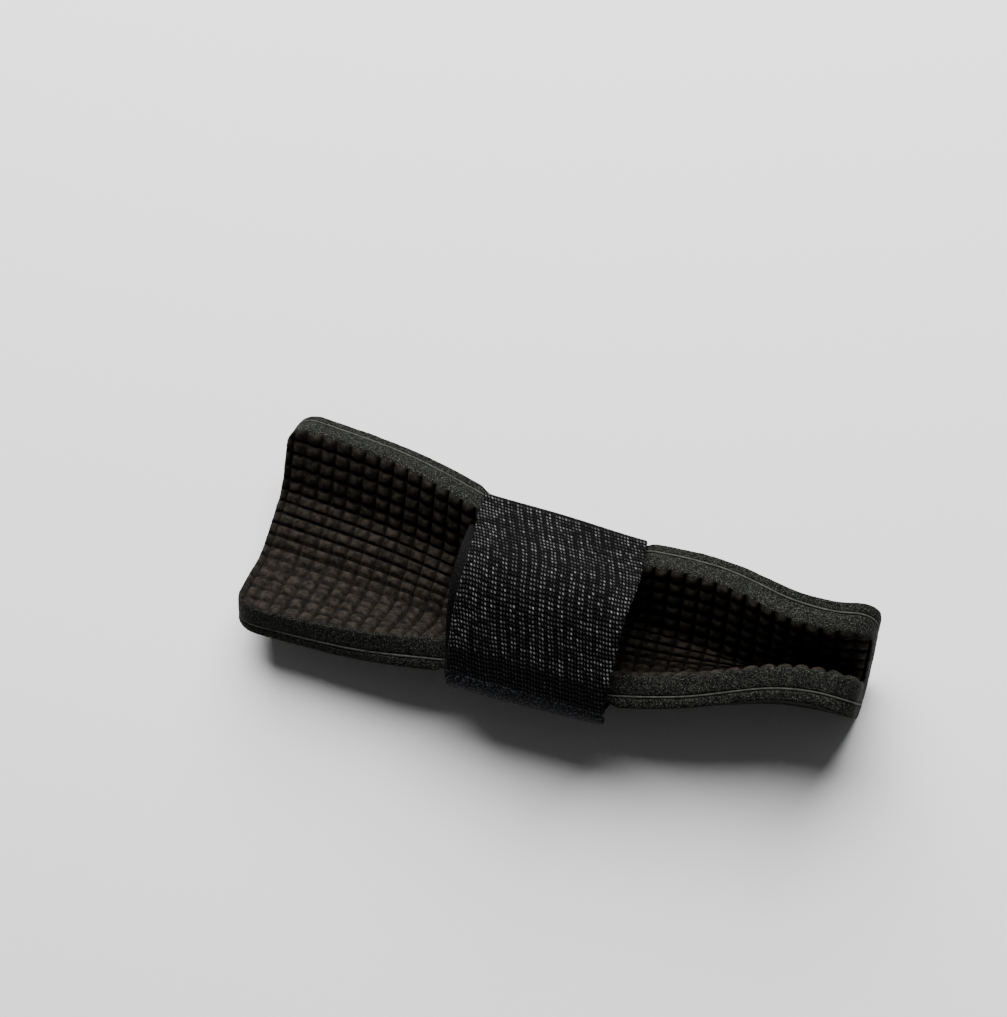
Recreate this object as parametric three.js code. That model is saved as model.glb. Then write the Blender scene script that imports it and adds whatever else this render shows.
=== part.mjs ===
// Finger splint: a trough of foam bonded to both sides of a thin stiff sheet, with a woven strap
// wound round its middle. Millimetres. +X points to the fingertip, +Y to the far wall and +Z out
// of the open side. The origin is under the splint's middle, on the surface that the strap's flat
// underside rests on.
import * as THREE from 'three';

// Panel, as cut flat
const PANEL_LENGTH = 96;
const PANEL_WIDTH = 39;
const CORNER_RADIUS = 4;
const OUTER_PAD_THICKNESS = 1.5;
const CORE_THICKNESS = 0.4;
const INNER_PAD_THICKNESS = 2.9;
const LAYER_GAP = 0.1;
const TIGHTEST_BEND = 0.6;
const CORNER_STEP = 0.6;

// Raised cells of the inner pad
const CELL_PITCH = 2.4;
const CELL_HEIGHT = 0.8;

// Finger space, and the strap that closes it
const FINGER_WIDTH = 16.4;
const FINGER_DEPTH = 14.5;
const STRAP_WIDTH = 25;
const STRAP_THICKNESS = 1;
const STRAP_GAP = 0.2;
const STRAP_SINK = 0.7;
const STRAP_SINK_RAMP = 2;
const STRAP_LEAD_GAP = 0.7;
const STRAP_LEAD_SKEW = 2.1;
const STRAP_LEAD_DROP = 4;
const STRAP_OVERLAP = 29;
const STRAP_SLACK_NEAR = 0.7;
const STRAP_SLACK_FAR = 0.1;

// How the flat panel is bent, from the proximal end to the fingertip end. Leans are degrees from
// upright; floor is half the flat floor, bend the core's radius beside it and drift the sideways
// place of the floor, all three as shares of the panel's width; foam is the outer pad's thickness
// as a share of its nominal one.
const SECTIONS = [
  { at: 0.0, nearLean: 54, farLean: 50, floor: 0.092, bend: 0.205, drift: 0.066, foam: 1.0 },
  { at: 0.19, nearLean: 41, farLean: 47, floor: 0.102, bend: 0.177, drift: 0.035, foam: 1.0 },
  { at: 0.35, nearLean: 17, farLean: 36, floor: 0.107, bend: 0.135, drift: -0.012, foam: 1.0 },
  { at: 0.4, nearLean: 10, farLean: 28, floor: 0.107, bend: 0.127, drift: -0.024, foam: 1.0 },
  { at: 0.5, nearLean: 7, farLean: 27, floor: 0.107, bend: 0.12, drift: -0.036, foam: 1.0 },
  { at: 0.59, nearLean: 7, farLean: 28, floor: 0.098, bend: 0.115, drift: -0.037, foam: 1.0 },
  { at: 0.635, nearLean: 8, farLean: 35, floor: 0.088, bend: 0.112, drift: -0.034, foam: 1.0 },
  { at: 0.74, nearLean: 9, farLean: 35, floor: 0.052, bend: 0.093, drift: -0.012, foam: 1.0 },
  { at: 0.86, nearLean: 6, farLean: 25, floor: 0.01, bend: 0.065, drift: 0.018, foam: 1.0 },
  { at: 0.93, nearLean: 5, farLean: 23, floor: 0.003, bend: 0.058, drift: 0.034, foam: 1.05 },
  { at: 1.0, nearLean: 7, farLean: 27, floor: 0.0, bend: 0.056, drift: 0.046, foam: 1.3 },
];

const HALF_LENGTH = PANEL_LENGTH / 2;
const HALF_WIDTH = PANEL_WIDTH / 2;
const CORE_TO_INNER_PAD = CORE_THICKNESS / 2 + LAYER_GAP;
const CORE_TO_VALLEY = CORE_TO_INNER_PAD + INNER_PAD_THICKNESS;
const CORE_TO_OUTER_PAD = CORE_THICKNESS / 2 + LAYER_GAP;
const SUNK_PAD_THICKNESS = OUTER_PAD_THICKNESS - STRAP_SINK;
const FLOOR_Z = STRAP_THICKNESS + STRAP_GAP + SUNK_PAD_THICKNESS + CORE_TO_OUTER_PAD;
const CORE_TO_PEAK = CORE_TO_VALLEY + CELL_HEIGHT;
const CORE_TO_LEAD = CORE_TO_PEAK + STRAP_LEAD_GAP + STRAP_THICKNESS + STRAP_GAP;
const FINGER_BOTTOM_Z = FLOOR_Z + CORE_TO_PEAK;

const smooth = (share) => {
  const s = Math.min(Math.max(share, 0), 1);
  return s * s * (3 - 2 * s);
};

// One column of the section table at a share of the panel's length, on a smooth curve
function column(name, share) {
  const last = SECTIONS.length - 1;
  const found = SECTIONS.findIndex((row) => row.at > share);
  const high = found < 0 ? last : Math.max(found, 1);
  const low = high - 1;
  const slope = (i) => {
    const a = SECTIONS[Math.max(i - 1, 0)];
    const b = SECTIONS[Math.min(i + 1, last)];
    return (b[name] - a[name]) / (b.at - a.at);
  };
  const span = SECTIONS[high].at - SECTIONS[low].at;
  const s = Math.min(Math.max((share - SECTIONS[low].at) / span, 0), 1);
  const s2 = s * s;
  const s3 = s2 * s;
  return (2 * s3 - 3 * s2 + 1) * SECTIONS[low][name] + (s3 - 2 * s2 + s) * span * slope(low)
    + (3 * s2 - 2 * s3) * SECTIONS[high][name] + (s3 - s2) * span * slope(high);
}

// How far the strap has sunk into the outer pad at x
function sinkAt(x) {
  const fromRamp = STRAP_WIDTH / 2 + STRAP_SINK_RAMP - Math.abs(x);
  return STRAP_SINK * smooth(fromRamp / STRAP_SINK_RAMP);
}

// The bent section at x
function sectionAt(x) {
  const share = x / PANEL_LENGTH + 0.5;
  const wall = (name) => {
    const lean = THREE.MathUtils.degToRad(column(name, share));
    const turn = Math.PI / 2 - lean;
    return { lean, turn, foot: Math.tan(turn / 2) };
  };
  return {
    x,
    near: wall('nearLean'),
    far: wall('farLean'),
    floor: column('floor', share) * PANEL_WIDTH,
    bend: column('bend', share) * PANEL_WIDTH,
    drift: column('drift', share) * PANEL_WIDTH,
    foam: column('foam', share) * OUTER_PAD_THICKNESS - sinkAt(x),
  };
}

// The section's line at a distance inward of the core: a flat floor, a round corner beside it and
// two straight walls. Where the fold is too tight for a deep line, its floor rises until the
// tightest bend fits, as foam does that is squeezed in a fold.
function lineAt(section, inward) {
  const { near, far, floor } = section;
  const sharp = section.bend - inward;
  const bend = Math.max(sharp, TIGHTEST_BEND);
  const flatOf = (wall) => floor + (sharp - bend) * wall.foot;
  const missing = Math.max(-flatOf(near) - flatOf(far), 0);
  const rise = missing / (Math.tan(near.lean) + Math.tan(far.lean));
  const flats = [near, far].map((wall) => flatOf(wall) + rise * Math.tan(wall.lean));
  const middle = Math.min(Math.max(0, -flats[0]), flats[1]);
  const sideOf = (wall, flat, toMiddle) => {
    const coreStraight = HALF_WIDTH - floor - section.bend * wall.turn;
    const straight = coreStraight + (sharp - bend) * wall.foot - rise / Math.cos(wall.lean);
    return { ...wall, flat, coreStraight, straight, length: straight + bend * wall.turn + toMiddle };
  };
  return {
    bend,
    height: inward + rise,
    near: sideOf(near, flats[0], flats[0] + middle),
    far: sideOf(far, flats[1], flats[1] - middle),
  };
}

// A point of the bent panel: girth runs along the core from the floor's middle, plus to the far
// wall and minus to the near wall, and inward is the distance from the core towards the finger
function panelPoint(section, girth, inward) {
  const line = lineAt(section, inward);
  const side = girth < 0 ? line.near : line.far;
  const fromRim = HALF_WIDTH - Math.abs(girth);
  const shared = Math.min(side.coreStraight, side.straight);
  const stretch = (side.length - shared) / (HALF_WIDTH - shared);
  const walked = fromRim < shared ? fromRim : shared + (fromRim - shared) * stretch;
  const up = Math.max(side.straight - walked, 0);
  const angle = Math.min(side.turn, Math.max(side.turn - (walked - side.straight) / line.bend, 0));
  const across = Math.max(walked - side.straight - line.bend * side.turn, 0);
  const y = side.flat - across + line.bend * Math.sin(angle) + up * Math.sin(side.lean);
  const z = line.height + line.bend * (1 - Math.cos(angle)) + up * Math.cos(side.lean);
  return new THREE.Vector3(section.x, section.drift + (girth < 0 ? -y : y), FLOOR_Z + z);
}

// Half the flat panel's width at x, with its round corners
function halfWidthAt(x) {
  const inCorner = Math.max(CORNER_RADIUS - (HALF_LENGTH - Math.abs(x)), 0);
  return HALF_WIDTH - CORNER_RADIUS + Math.sqrt(CORNER_RADIUS ** 2 - inCorner ** 2);
}

// Stations along the panel: the cells' edges, and one more inside each round corner
const CELLS_LONG = Math.round(PANEL_LENGTH / CELL_PITCH);
const CELLS_ROUND = Math.round(PANEL_WIDTH / CELL_PITCH / 2) * 2;
const stations = [-HALF_LENGTH, -HALF_LENGTH + CORNER_STEP];
for (let i = 1; i < CELLS_LONG; i += 1) {
  stations.push(-HALF_LENGTH + (PANEL_LENGTH * i) / CELLS_LONG);
}
stations.push(HALF_LENGTH - CORNER_STEP, HALF_LENGTH);
const panelSections = stations.map(sectionAt);

const triangle = (list, a, b, c) => list.push(...a, ...b, ...c);

function quad(list, a, b, c, d) {
  triangle(list, a, b, c);
  triangle(list, a, c, d);
}

function geometryOf(list) {
  const geometry = new THREE.BufferGeometry();
  geometry.setAttribute('position', new THREE.Float32BufferAttribute(list, 3));
  geometry.computeVertexNormals();
  return geometry;
}

// The edge girths of every cell row at a station
function girthsAt(x) {
  const half = halfWidthAt(x);
  return Array.from({ length: CELLS_ROUND + 1 }, (_, j) => ((2 * j) / CELLS_ROUND - 1) * half);
}

// One bonded layer between two distances from the core. With cells, the inner face rises to a
// point in the middle of each cell.
function layerGeometry(outerAt, innerAt, cellHeight) {
  const grid = (distanceAt) => panelSections.map((section) => girthsAt(section.x)
    .map((girth) => panelPoint(section, girth, distanceAt(section))));
  const outer = grid(outerAt);
  const inner = grid(innerAt);
  const list = [];
  const rows = stations.length - 1;
  for (let i = 0; i < rows; i += 1) {
    const bordered = i === 0 || i === rows - 1;
    for (let j = 0; j < CELLS_ROUND; j += 1) {
      const [a, b, c, d] = [inner[i][j], inner[i + 1][j], inner[i + 1][j + 1], inner[i][j + 1]];
      if (cellHeight > 0 && !bordered) {
        const middle = sectionAt((stations[i] + stations[i + 1]) / 2);
        const girths = girthsAt(middle.x);
        const peak = panelPoint(middle, (girths[j] + girths[j + 1]) / 2, innerAt(middle) + cellHeight);
        [[a, b], [b, c], [c, d], [d, a]].forEach(([from, to]) => triangle(list, from, to, peak));
      } else {
        quad(list, a, b, c, d);
      }
      quad(list, outer[i][j], outer[i][j + 1], outer[i + 1][j + 1], outer[i + 1][j]);
    }
    quad(list, outer[i][0], outer[i + 1][0], inner[i + 1][0], inner[i][0]);
    const end = CELLS_ROUND;
    quad(list, outer[i][end], inner[i][end], inner[i + 1][end], outer[i + 1][end]);
  }
  for (let j = 0; j < CELLS_ROUND; j += 1) {
    quad(list, outer[0][j], inner[0][j], inner[0][j + 1], outer[0][j + 1]);
    quad(list, outer[rows][j], outer[rows][j + 1], inner[rows][j + 1], inner[rows][j]);
  }
  return geometryOf(list);
}

// Convex outline of points in the YZ plane, anticlockwise as seen from the fingertip
const ALMOST_ZERO = 1e-9;
function convexOutline(points) {
  const sorted = [...points].sort((p, q) => p.y - q.y || p.z - q.z);
  const cross = (o, p, q) => (p.y - o.y) * (q.z - o.z) - (p.z - o.z) * (q.y - o.y);
  const chain = (list) => {
    const kept = [];
    list.forEach((point) => {
      while (kept.length > 1 && cross(...kept.slice(-2), point) <= ALMOST_ZERO) {
        kept.pop();
      }
      kept.push(point);
    });
    return kept.slice(0, -1);
  };
  return [...chain(sorted), ...chain(sorted.reverse())];
}

// Points on a round section
const ROUND_SIDES = 40;
function roundOutline(x, middle, halfWidth, halfDepth) {
  return Array.from({ length: ROUND_SIDES }, (_, i) => {
    const angle = (2 * Math.PI * i) / ROUND_SIDES;
    const y = middle.y + halfWidth * Math.cos(angle);
    return new THREE.Vector3(x, y, middle.z + halfDepth * Math.sin(angle));
  });
}

// The space that the strap is drawn over: as wide as the hollow leaves beside the strap's lead
function fingerOutline(section) {
  const far = panelPoint(section, HALF_WIDTH, CORE_TO_LEAD).y;
  const near = panelPoint(section, -HALF_WIDTH, CORE_TO_PEAK).y;
  const middle = { y: (far + near) / 2, z: FINGER_BOTTOM_Z + FINGER_DEPTH / 2 };
  return roundOutline(section.x, middle, Math.min(FINGER_WIDTH, far - near) / 2, FINGER_DEPTH / 2);
}

// What the strap is drawn round: the trough's outside and both rims, with some slack round each
// rim's outer corner
function troughOutline(section) {
  const outside = girthsAt(section.x)
    .map((girth) => panelPoint(section, girth, -CORE_TO_OUTER_PAD - section.foam));
  const rims = [-HALF_WIDTH, HALF_WIDTH].map((girth) => panelPoint(section, girth, CORE_TO_VALLEY));
  const slackRound = (corner, slack) => roundOutline(section.x, corner, slack, slack);
  return [...outside, ...rims, ...slackRound(outside[0], STRAP_SLACK_NEAR),
    ...slackRound(outside[outside.length - 1], STRAP_SLACK_FAR)];
}

// Walks an outline as contacts, each a place on it with its outward normal. A corner is walked
// through its turn, so it has a length of its own: so many millimetres for each radian.
const TURN_STEP = Math.PI / 18;
const TURN_LENGTH = 2.4;
const FULL_TURN = 2 * Math.PI;
function walk(outline) {
  const count = outline.length;
  const normalOf = (i) => {
    const from = outline[(i + count) % count];
    const to = outline[(i + 1) % count];
    return Math.atan2(from.y - to.y, to.z - from.z);
  };
  const contacts = [];
  let length = 0;
  outline.forEach((place, i) => {
    const before = normalOf(i - 1);
    const turn = (normalOf(i) - before + 2 * FULL_TURN) % FULL_TURN;
    const steps = Math.max(Math.ceil(turn / TURN_STEP), 1);
    for (let k = 0; k <= steps; k += 1) {
      contacts.push({ place, angle: before + (turn * k) / steps, length });
      if (k < steps) length += (turn / steps) * TURN_LENGTH;
    }
    length += place.distanceTo(outline[(i + 1) % count]);
  });
  return { contacts, length };
}

// The turn from one angle to another, by the short way
const shortTurn = (from, to) => ((to - from + 2.5 * FULL_TURN) % FULL_TURN) - Math.PI;

// A contact at a length along a walk
function contactAt(walked, wanted) {
  const length = ((wanted % walked.length) + walked.length) % walked.length;
  const { contacts } = walked;
  const found = contacts.findIndex((contact) => contact.length > length);
  const high = found < 0 ? 0 : found;
  const low = contacts[(high - 1 + contacts.length) % contacts.length];
  const next = contacts[high];
  const nextLength = found < 0 ? walked.length : next.length;
  const share = (length - low.length) / Math.max(nextLength - low.length, ALMOST_ZERO);
  const angle = low.angle + shortTurn(low.angle, next.angle) * share;
  return { place: low.place.clone().lerp(next.place, share), angle };
}

// The length along a walk at which its normal first points a given way
function lengthFacing(walked, angle) {
  const gap = (contact) => Math.abs(shortTurn(angle, contact.angle));
  const nearer = (best, contact) => (gap(contact) < gap(best) ? contact : best);
  return walked.contacts.reduce(nearer).length;
}

// Contacts at even steps along a walk, without the last
function span(walked, from, to, steps) {
  return Array.from({ length: steps }, (_, i) => contactAt(walked, from + ((to - from) * i) / steps));
}

// A point over a contact
function over(contact, height) {
  const { place, angle } = contact;
  const outward = new THREE.Vector3(0, Math.cos(angle), Math.sin(angle));
  return place.clone().addScaledVector(outward, height);
}

// The strap's course over one section: up along the far wall's inside, over the finger's back,
// round the trough and over the back again, on top of the first lead, to its end on the near wall
const LEAD_STEPS = 9;
const LOOP_STEPS = 42;
const LAP_STEPS = 24;
const COVERED_STEPS = 21;
const SKEWED_STEPS = 20;
const UP = Math.PI / 2;
const LAP_STARTS_FACING = UP / 2;
function strapCourse(section) {
  const finger = fingerOutline(section);
  const trough = troughOutline(section);
  const onWall = [STRAP_LEAD_DROP, 0]
    .map((depth) => panelPoint(section, HALF_WIDTH - depth, CORE_TO_LEAD));
  const fingerBack = finger.filter((point) => point.z > onWall[1].z);
  const rising = walk(convexOutline([...fingerBack, ...onWall]));
  const leadStart = lengthFacing(rising, -section.far.lean);
  const lead = span(rising, leadStart, lengthFacing(rising, UP), LEAD_STEPS);
  const first = walk(convexOutline([...finger, ...trough]));
  const firstEnd = first.length + lengthFacing(first, LAP_STARTS_FACING);
  const loop = span(first, lengthFacing(first, UP), firstEnd, LOOP_STEPS);
  const covered = [...lead, ...loop.slice(0, COVERED_STEPS)]
    .map((contact) => over(contact, STRAP_GAP + STRAP_THICKNESS));
  const farSide = trough.filter((point) => point.y > section.drift);
  const second = walk(convexOutline([...covered, ...farSide]));
  const lapEnd = lengthFacing(second, UP) + STRAP_OVERLAP;
  const lap = span(second, lengthFacing(second, LAP_STARTS_FACING), lapEnd, LAP_STEPS);
  return [...lead, ...loop, ...lap, contactAt(second, lapEnd)].map((contact, i) => {
    const skewed = STRAP_LEAD_SKEW * smooth(1 - i / SKEWED_STEPS);
    return { angle: contact.angle, place: contact.place.clone().setX(section.x - skewed) };
  });
}

// The strap as one wound band, closed at its edges and ends
const STRAP_STATIONS = 4;
function strapGeometry() {
  const courses = Array.from({ length: STRAP_STATIONS }, (_, i) => {
    const x = STRAP_WIDTH * (i / (STRAP_STATIONS - 1) - 0.5);
    return strapCourse(sectionAt(x));
  });
  const face = (height) => courses.map((course) => course.map((contact) => over(contact, height)));
  const under = face(STRAP_GAP);
  const top = face(STRAP_GAP + STRAP_THICKNESS);
  const list = [];
  const last = STRAP_STATIONS - 1;
  const end = courses[0].length - 1;
  for (let j = 0; j < end; j += 1) {
    for (let i = 0; i < last; i += 1) {
      quad(list, top[i][j], top[i][j + 1], top[i + 1][j + 1], top[i + 1][j]);
      quad(list, under[i][j], under[i + 1][j], under[i + 1][j + 1], under[i][j + 1]);
    }
    quad(list, under[0][j], under[0][j + 1], top[0][j + 1], top[0][j]);
    quad(list, under[last][j], top[last][j], top[last][j + 1], under[last][j + 1]);
  }
  for (let i = 0; i < last; i += 1) {
    quad(list, under[i][0], top[i][0], top[i + 1][0], under[i + 1][0]);
    quad(list, under[i][end], under[i + 1][end], top[i + 1][end], top[i][end]);
  }
  return geometryOf(list);
}

function piece(name, geometry, color, roughness) {
  const material = new THREE.MeshStandardMaterial({ color, roughness, metalness: 0 });
  const mesh = new THREE.Mesh(geometry, material);
  mesh.name = name;
  return mesh;
}

const splint = new THREE.Group();
splint.add(
  piece('outer_pad', layerGeometry((section) => -CORE_TO_OUTER_PAD - section.foam,
    () => -CORE_TO_OUTER_PAD, 0), 0x1b1c1b, 0.85),
  piece('core_sheet', layerGeometry(() => -CORE_THICKNESS / 2, () => CORE_THICKNESS / 2, 0),
    0x6e7369, 0.6),
  piece('inner_pad', layerGeometry(() => CORE_TO_INNER_PAD, () => CORE_TO_VALLEY, CELL_HEIGHT),
    0x1f1c19, 0.75),
  piece('strap', strapGeometry(), 0x15161a, 0.6),
);

const box = new THREE.Box3().setFromObject(splint);
splint.position.y = -(box.min.y + box.max.y) / 2;

export default splint;
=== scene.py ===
# Finger splint: a trough of bonded foam with a woven strap round its middle. Lengths are
# millimetres in the part's own frame, and mesh_of turns them into metres.
import math

import bpy
from mathutils import Matrix, Vector, noise


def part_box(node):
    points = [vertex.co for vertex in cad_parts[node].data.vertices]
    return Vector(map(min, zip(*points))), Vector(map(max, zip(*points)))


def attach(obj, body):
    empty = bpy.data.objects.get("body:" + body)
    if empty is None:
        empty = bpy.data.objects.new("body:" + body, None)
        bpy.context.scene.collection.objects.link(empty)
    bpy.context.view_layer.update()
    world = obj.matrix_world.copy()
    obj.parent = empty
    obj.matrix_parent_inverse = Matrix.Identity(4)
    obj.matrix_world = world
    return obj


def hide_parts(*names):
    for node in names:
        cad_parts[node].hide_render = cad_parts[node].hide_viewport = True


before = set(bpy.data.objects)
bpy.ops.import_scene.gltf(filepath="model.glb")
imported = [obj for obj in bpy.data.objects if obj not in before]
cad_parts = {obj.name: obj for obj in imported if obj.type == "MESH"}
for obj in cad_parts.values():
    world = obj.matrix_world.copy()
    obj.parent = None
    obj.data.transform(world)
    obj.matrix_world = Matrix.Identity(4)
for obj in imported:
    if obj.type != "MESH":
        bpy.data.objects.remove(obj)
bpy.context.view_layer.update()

METRES = 0.001

# Panel, as cut flat. The pressed edge of the core shows a little thinner than the sheet is, and the
# bond between two layers shows as a finer line than the gap that the solids keep.
PANEL_LENGTH = 96
PANEL_WIDTH = 39
CORNER_RADIUS = 4
OUTER_PAD_THICKNESS = 1.5
CORE_THICKNESS = 0.4
CORE_SHOWN = 0.3
INNER_PAD_THICKNESS = 2.9
BOND_GAP = 0.1
BOND_SHOWN = 0.02
TIGHTEST_BEND = 0.6

# Raised cells of the inner pad, with the groove cut below their feet
CELL_PITCH = 2.42
CELL_HEIGHT = 0.8
CELL_SHOWN = 0.6
CELL_PHASE = 1.1
CELLS_TO_RIM = 8
GROOVE_DEPTH = 0.45
GROOVE_WIDTH = 0.16
DOME_POWER = 2.6
CELL_VARIETY = 0.22
CELL_SEED = (1.7, 2.3, 4.0)
RIM_FADE = 0.7
END_FADE = 0.5

# Finger space, and the strap that closes it
FINGER_WIDTH = 16.4
FINGER_DEPTH = 14.5
STRAP_WIDTH = 25
STRAP_THICKNESS = 1
STRAP_GAP = 0.2
STRAP_SINK = 0.7
STRAP_SINK_RAMP = 2
STRAP_LEAD_GAP = 0.7
STRAP_LEAD_SKEW = 2.1
STRAP_LEAD_DROP = 4
STRAP_OVERLAP = 29
STRAP_SLACK_NEAR = 0.7
STRAP_SLACK_FAR = 0.1

# How the strap's edges wander: lower parts shift along the splint on the far side and draw together
# on the near side, and the whole strap is a little wider on the far side
STRAP_TOP_Z = 23
SHIFT_DEPTH = 11
FAR_SHIFT = 1.9
FAR_SPREAD = 0.04
ALL_SPREAD = 0.012
NEAR_PINCH = 0.08
CURL_PINCH = 0.115
CURL_Z = 14
CURL_DEPTH = 6

# The strap bridges the far wall's hollow, and its edges follow the trough's bends a little less
# than they would if they lay on it
FAR_BRIDGE = 0.45
EDGE_CALM = 0.75

# Where the strap turns down over the near wall, which sets the painted shade on its floats, and where
# loop pile shows on it, with a painted sheen
TURN_STARTS_Y = -11.3
TURN_DARK_Y = -12.7
NEAR_PILE_Y = -14.7

# How the flat panel is bent, from the proximal end to the fingertip end: leans in degrees from
# upright, floor, bend and drift as shares of the panel's width, and foam as a share of the outer
# pad's thickness
COLUMNS = ("at", "near_lean", "far_lean", "floor", "bend", "drift", "foam")
SECTIONS = [
    dict(zip(COLUMNS, row))
    for row in (
        (0.0, 54, 50, 0.092, 0.205, 0.066, 1.0),
        (0.19, 41, 47, 0.102, 0.177, 0.035, 1.0),
        (0.35, 17, 36, 0.107, 0.135, -0.012, 1.0),
        (0.4, 10, 28, 0.107, 0.127, -0.024, 1.0),
        (0.5, 7, 27, 0.107, 0.12, -0.036, 1.0),
        (0.59, 7, 28, 0.098, 0.115, -0.037, 1.0),
        (0.635, 8, 35, 0.088, 0.112, -0.034, 1.0),
        (0.74, 9, 35, 0.052, 0.093, -0.012, 1.0),
        (0.86, 6, 25, 0.01, 0.065, 0.018, 1.0),
        (0.93, 5, 23, 0.003, 0.058, 0.034, 1.05),
        (1.0, 7, 27, 0.0, 0.056, 0.046, 1.3),
    )
]

HALF_LENGTH = PANEL_LENGTH / 2
HALF_WIDTH = PANEL_WIDTH / 2
CORE_TO_VALLEY = CORE_THICKNESS / 2 + BOND_GAP + INNER_PAD_THICKNESS
CORE_TO_OUTSIDE = CORE_THICKNESS / 2 + BOND_GAP
FLOOR_Z = STRAP_THICKNESS + STRAP_GAP + OUTER_PAD_THICKNESS - STRAP_SINK + CORE_TO_OUTSIDE
CORE_TO_PEAK = CORE_TO_VALLEY + CELL_HEIGHT
CORE_TO_LEAD = CORE_TO_PEAK + STRAP_LEAD_GAP + STRAP_THICKNESS + STRAP_GAP
FINGER_BOTTOM_Z = FLOOR_Z + CORE_TO_PEAK


def smooth(share):
    s = min(max(share, 0), 1)
    return s * s * (3 - 2 * s)


def column(name, share):
    """One column of the section table at a share of the panel's length, on a smooth curve."""
    last = len(SECTIONS) - 1
    high = next((i for i, row in enumerate(SECTIONS) if row["at"] > share), last)
    high = max(high, 1)
    low = high - 1

    def slope(i):
        a = SECTIONS[max(i - 1, 0)]
        b = SECTIONS[min(i + 1, last)]
        return (b[name] - a[name]) / (b["at"] - a["at"])

    width = SECTIONS[high]["at"] - SECTIONS[low]["at"]
    s = min(max((share - SECTIONS[low]["at"]) / width, 0), 1)
    s2 = s * s
    s3 = s2 * s
    start = (2 * s3 - 3 * s2 + 1) * SECTIONS[low][name] + (s3 - 2 * s2 + s) * width * slope(low)
    return start + (3 * s2 - 2 * s3) * SECTIONS[high][name] + (s3 - s2) * width * slope(high)


def sink_at(x):
    """How far the strap has sunk into the outer pad at x."""
    from_ramp = STRAP_WIDTH / 2 + STRAP_SINK_RAMP - abs(x)
    return STRAP_SINK * smooth(from_ramp / STRAP_SINK_RAMP)


def outer_face(x, girth):
    """Distance of the outer pad's face from the core, pressed in where the strap lies over it."""
    moved = x + FAR_SHIFT * smooth(girth / HALF_WIDTH)
    return -CORE_TO_OUTSIDE - Section.at(x).foam - sink_at(x) + sink_at(moved)


class Wall:
    """One side wall of a section."""

    def __init__(self, lean):
        self.lean = math.radians(lean)
        self.turn = math.pi / 2 - self.lean
        self.foot = math.tan(self.turn / 2)


class Section:
    """The bent section at x. Each is worked out once and kept."""

    made = {}

    def __init__(self, x):
        share = x / PANEL_LENGTH + 0.5
        self.x = x
        self.near = Wall(column("near_lean", share))
        self.far = Wall(column("far_lean", share))
        self.floor = column("floor", share) * PANEL_WIDTH
        self.bend = column("bend", share) * PANEL_WIDTH
        self.drift = column("drift", share) * PANEL_WIDTH
        self.foam = column("foam", share) * OUTER_PAD_THICKNESS - sink_at(x)

    @classmethod
    def at(cls, x):
        key = round(x, 5)
        if key not in cls.made:
            cls.made[key] = cls(x)
        return cls.made[key]


def line_side(section, inward, far):
    """One side of the section's line at a distance inward of the core. Where the fold is too
    tight for it, the line's floor rises until the tightest bend fits."""
    near_wall, far_wall, floor = section.near, section.far, section.floor
    sharp = section.bend - inward
    bend = max(sharp, TIGHTEST_BEND)
    flats = [floor + (sharp - bend) * wall.foot for wall in (near_wall, far_wall)]
    missing = max(-flats[0] - flats[1], 0)
    rise = missing / (math.tan(near_wall.lean) + math.tan(far_wall.lean))
    flats[0] += rise * math.tan(near_wall.lean)
    flats[1] += rise * math.tan(far_wall.lean)
    middle = min(max(0, -flats[0]), flats[1])
    wall = far_wall if far else near_wall
    flat = flats[1] if far else flats[0]
    to_middle = flat - middle if far else flat + middle
    core_straight = HALF_WIDTH - floor - section.bend * wall.turn
    straight = core_straight + (sharp - bend) * wall.foot - rise / math.cos(wall.lean)
    length = straight + bend * wall.turn + to_middle
    return wall, bend, inward + rise, flat, core_straight, straight, length


def panel_point(x, girth, inward):
    """A point of the bent panel: girth runs along the core from the floor's middle, plus to the
    far wall, and inward is the distance from the core towards the finger."""
    section = Section.at(x)
    side = line_side(section, inward, girth >= 0)
    wall, bend, height, flat, core_straight, straight, length = side
    from_rim = HALF_WIDTH - abs(girth)
    shared = min(core_straight, straight)
    stretch = (length - shared) / (HALF_WIDTH - shared)
    walked = from_rim if from_rim < shared else shared + (from_rim - shared) * stretch
    up = max(straight - walked, 0)
    angle = min(wall.turn, max(wall.turn - (walked - straight) / bend, 0))
    across = max(walked - straight - bend * wall.turn, 0)
    y = flat - across + bend * math.sin(angle) + up * math.sin(wall.lean)
    z = height + bend * (1 - math.cos(angle)) + up * math.cos(wall.lean)
    return Vector((x, section.drift + (y if girth >= 0 else -y), FLOOR_Z + z))


def half_width_at(x, inset=0.0):
    """Half the flat panel's width at x, with round corners, for an outline set in by inset."""
    radius = CORNER_RADIUS - inset
    in_corner = min(max(radius - (HALF_LENGTH - inset - abs(x)), 0), radius)
    return HALF_WIDTH - CORNER_RADIUS + math.sqrt(radius**2 - in_corner**2)


# The whole splint is moved sideways to centre it. The core sheet's box says how far.
SAMPLE_STEP = 0.5
samples = round(PANEL_LENGTH / SAMPLE_STEP)
sampled = [-HALF_LENGTH + SAMPLE_STEP * i for i in range(samples + 1)]
core_low = min(panel_point(x, -half_width_at(x), -CORE_THICKNESS / 2).y for x in sampled)
SIDE_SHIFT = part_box("core_sheet")[0][1] / METRES - core_low


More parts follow.
